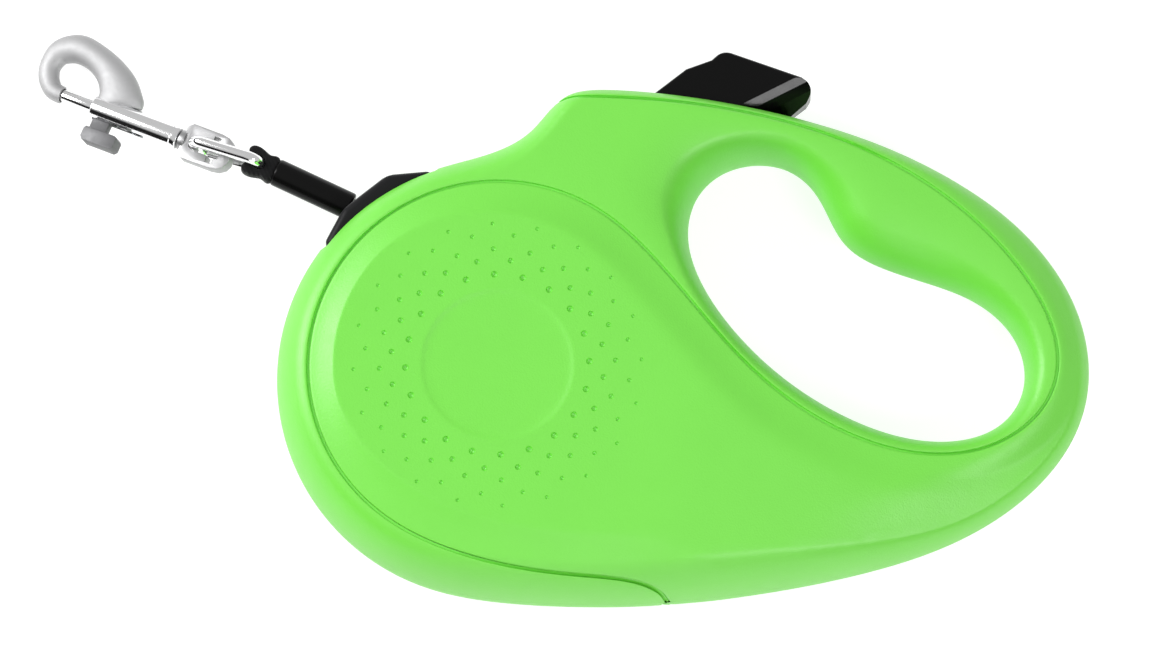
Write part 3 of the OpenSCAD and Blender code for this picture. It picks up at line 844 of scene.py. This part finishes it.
LOOP_X = 22.0
loop_ctrl = [(18.0, 1.2), (18.4, 2.6), (19.4, 3.2), (20.7, 2.5), (21.9, 2.9), (23.4, 3.4),
             (25.3, 3.3), (26.0, 1.9), (24.9, 0.7), (24.9, -0.7), (26.0, -1.9), (25.3, -3.3),
             (23.4, -3.4), (21.9, -2.9), (20.7, -2.5), (19.4, -3.2), (18.4, -2.6), (18.0, -1.2)]
curve = closed_curve(loop_ctrl, 8) - (LOOP_X, 0)
bearing = np.arctan2(curve[:, 1], curve[:, 0])
order = np.argsort(bearing)
turn = np.linspace(-math.pi, math.pi, 97)[:-1] + 0.01
reach = np.interp(turn, bearing[order], np.hypot(curve[:, 0], curve[:, 1])[order],
                  period=2 * math.pi)
LEAN = (0.2858, 0.024)
BORE = 1.5


def loop_ring(z, inset, bore):
    ring = []
    for a, r in zip(turn, reach):
        shift = (LEAN[0] * z, LEAN[1] * z) if bore else (0, 0)
        length = (BORE + inset) if bore else r - inset
        ring.append((LOOP_X + shift[0] + length * math.cos(a), shift[1] + length * math.sin(a), z))
    return ring


levels = [(-2.1, 0.9), (-1.95, 0.4), (-1.6, 0.12), (-1.1, 0.0), (1.1, 0.0), (1.6, 0.12),
          (1.95, 0.4), (2.1, 0.9)]
rings = [loop_ring(z, i, False) for z, i in levels] \
    + [loop_ring(z, i, True) for z, i in ((2.08, 0.3), (1.8, 0.0), (-1.8, 0.0), (-2.08, 0.3))]
add("loop_eye", *moved(loft(rings, True), OUT_AT, EX, EY, UP), loop_weave, "leash_end",
    ["leash_loop"], 50, "tape_black")

# ---------------------------------------------------------------- link and swivel

J1 = Vector((-51.157, 47.571, 17.0))
LX = Vector((-0.90217, 0.33731, -0.26892))
LZ = Vector((0.25189, -0.094178, -0.963163))
LINK_L = 15.4
HALF_LINK = 4.3
BEND = 2.4
WIRE_R = 1.3
path = []
for cx, cz, a0 in ((LINK_L - BEND, HALF_LINK - BEND, 0), (BEND, HALF_LINK - BEND, 90),
                   (BEND, BEND - HALF_LINK, 180), (LINK_L - BEND, BEND - HALF_LINK, 270)):
    for a in range(0, 91, 9):
        b = math.radians(a0 + a)
        path.append(J1 + LX * (cx + BEND * math.cos(b)) + LZ * (cz + BEND * math.sin(b)))
add("link_ring", *tube(path, WIRE_R, 24, True), chrome, "link", ["snap_link"], 0, "hook_chrome")

eye = rounded(cad_copy("swivel_head"), 0.3, 3, 35)
finish_mesh("swivel_eye", eye, plate, "swivel", ["swivel_head"], 35)

# ---------------------------------------------------------------- snap hook

HX = Vector((-0.879105, 0.39386, -0.268418))
HY = Vector((0.40463, 0.914333, 0.016417))
HZ = LZ
H0 = Vector((-65.05, 52.766, 12.859)) - HX * LINK_L


def hook_point(s, v, w):
    return H0 + HX * s + HY * v + HZ * w


bore = 1.45
barrel = lathe([(19.6, 1.3), (19.6, 2.3), (19.72, 2.56), (20.0, 2.72), (20.5, 2.75), (20.9, 2.75),
                (21.1, 2.62), (21.3, 2.75), (40.2, 2.75), (40.65, 2.68), (40.9, 2.45),
                (41.0, 2.1), (41.0, bore + 0.2), (40.8, bore), (33.8, bore), (33.8, 1.92),
                (21.6, 1.92), (21.6, 1.3)], H0, HX, 72)
stem_slot = [(27.4, -1.3), (27.4, 1.3), (40, 1.3), (40, -1.3)]
slot_cut = solid(*moved(prism(stem_slot, 0, 4.2), H0, HX, HZ, HY * -1))
finish_mesh("hook_barrel", carved(solid(*barrel), [slot_cut]), chrome, "hook",
            ["snap_hook_body"], 32)

rows = [(35.4, 1.6, 4.9, 1.25), (35.8, 2.6, 5.4, 2.4), (37.6, 5.8, 4.4, 2.8),
        (40.8, 8.5, 3.5, 2.9), (45, 10.3, 3.1, 2.9), (49.6, 10.8, 3.2, 2.8),
        (53.2, 8.8, 2.9, 2.5), (54.2, 5.4, 2.4, 2.3), (53.4, 2.6, 2.3, 2.2),
        (51.6, 0.6, 2.1, 2.0), (50.0, 0.05, 1.95, 1.95), (48.9, 0.0, 1.9, 1.9)]
fine = []
for i in range(len(rows) - 1):
    p0, p1, p2, p3 = (np.array(rows[max(0, min(len(rows) - 1, i + k))]) for k in (-1, 0, 1, 2))
    for j in range(6):
        t = j / 6
        fine.append(0.5 * (2 * p1 + (p2 - p0) * t + (2 * p0 - 5 * p1 + 4 * p2 - p3) * t * t
                           + (3 * p1 - p0 - 3 * p2 + p3) * t ** 3))
fine.append(np.array(rows[-1]))
rings = []
for i, (ps, pv, hw, ht) in enumerate(fine):
    d = np.array(fine[min(i + 1, len(fine) - 1)])[:2] - np.array(fine[max(i - 1, 0)])[:2]
    d = d / np.linalg.norm(d)
    if i == len(fine) - 1:
        d = np.array((-1.0, 0.0))
    rings.append([hook_point(ps - d[1] * hw * math.cos(a), pv + d[0] * hw * math.cos(a),
                             ht * math.sin(a)) for a in (2 * math.pi * k / 40 for k in range(40))])
for at_s, r in ((48.78, 1.75), (48.78, 1.55), (50.4, 1.5)):
    rings.append([hook_point(at_s, -r * math.cos(a), r * math.sin(a))
                  for a in (2 * math.pi * k / 40 for k in range(40))])
add("hook_horn", *loft(rings), satin, "hook", ["snap_hook_body"], 40, "hook_chrome")

add("latch_bolt", *lathe([(33.55, 0.9), (33.6, 1.2), (33.8, 1.35), (49.2, 1.35), (49.45, 1.25),
                          (49.6, 0.9)], H0, HX, 40, False), chrome, "bolt", ["snap_bolt"], 40,
    "hook_chrome")
lug = rounded(cad_copy("bolt_lug"), 0.3, 3, 30)
finish_mesh("latch_lug", lug, dull, "bolt", ["bolt_lug"], 40)
coil("latch_coil", H0, HX, 23.1, 33.5, 1.55, 0.22, 5, "hook", "bolt_spring",
     "spring_steel")

# ---------------------------------------------------------------- light and floor

world = bpy.data.worlds.new("studio")
world.use_nodes = True
nodes, links = world.node_tree.nodes, world.node_tree.links
# A bright tent overhead and dark low down, darker to the front and the left
direction = nodes.new("ShaderNodeTexCoord").outputs["Generated"]
dot = nodes.new("ShaderNodeVectorMath")
dot.operation = "DOT_PRODUCT"
dot.inputs[1].default_value = (0.18, 0.42, 1.0)
links.new(direction, dot.inputs[0])
sky = nodes.new("ShaderNodeValToRGB")
sky.color_ramp.elements[0].position = 0.22
sky.color_ramp.elements[0].color = (0.02, 0.02, 0.02, 1)
sky.color_ramp.elements[1].position = 0.42
sky.color_ramp.elements[1].color = (1, 1, 1, 1)
links.new(dot.outputs["Value"], sky.inputs["Fac"])
background = nodes["Background"]
background.inputs["Strength"].default_value = 0.565
links.new(sky.outputs["Color"], background.inputs["Color"])
bpy.context.scene.world = world
bpy.context.scene.view_settings.view_transform = "Standard"


def lamp(name, where, size, power, aim=(0.03, 0.005, 0.015)):
    data = bpy.data.lights.new(name, "AREA")
    data.shape = "DISK"
    data.size = size
    data.energy = power
    light = bpy.data.objects.new(name, data)
    light.location = where
    light.rotation_euler = (Vector(aim) - Vector(where)).to_track_quat("-Z", "Y").to_euler()
    bpy.context.collection.objects.link(light)


lamp("key", (-0.9, 0.36, 0.6), 0.6, 10.5)
lamp("front", (0.0, -1.0, 0.4), 0.8, 2.4)
lamp("fill", (0.47, -0.5, 0.93), 0.3, 4.0)

floor_mat = Shader("floor", Roughness=0.7, Emission_Color=(1, 1, 1, 1), Emission_Strength=0.8)
floor_mat.colour(floor_mat.ramp(floor_mat.noise(9, 2), [(0.0, (0.34, 0.34, 0.34)),
                                                       (1.0, (0.38, 0.38, 0.38))]))
bm = bmesh.new()
bmesh.ops.create_grid(bm, x_segments=1, y_segments=1, size=3)
floor_mesh = bpy.data.meshes.new("floor")
bm.to_mesh(floor_mesh)
bm.free()
floor_mesh.materials.append(floor_mat.material)
floor = bpy.data.objects.new("floor", floor_mesh)
floor.location.z = -0.0002
bpy.context.collection.objects.link(floor)

# ---------------------------------------------------------------- carried CAD nodes

carried = {"case_screws": zinc, "spool_axle": zinc, "axle_clip": spring_steel,
           "button_guide": nylon, "spool_drum": acetal, "spool_bush": bronze,
           "ratchet_ring": nylon, "spring_cover": nylon, "tape_anchor": zinc,
           "power_spring": spring_steel, "brake_plunger": nylon}
for node, material in carried.items():
    for place_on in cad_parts[node].material_slots:
        place_on.material = material
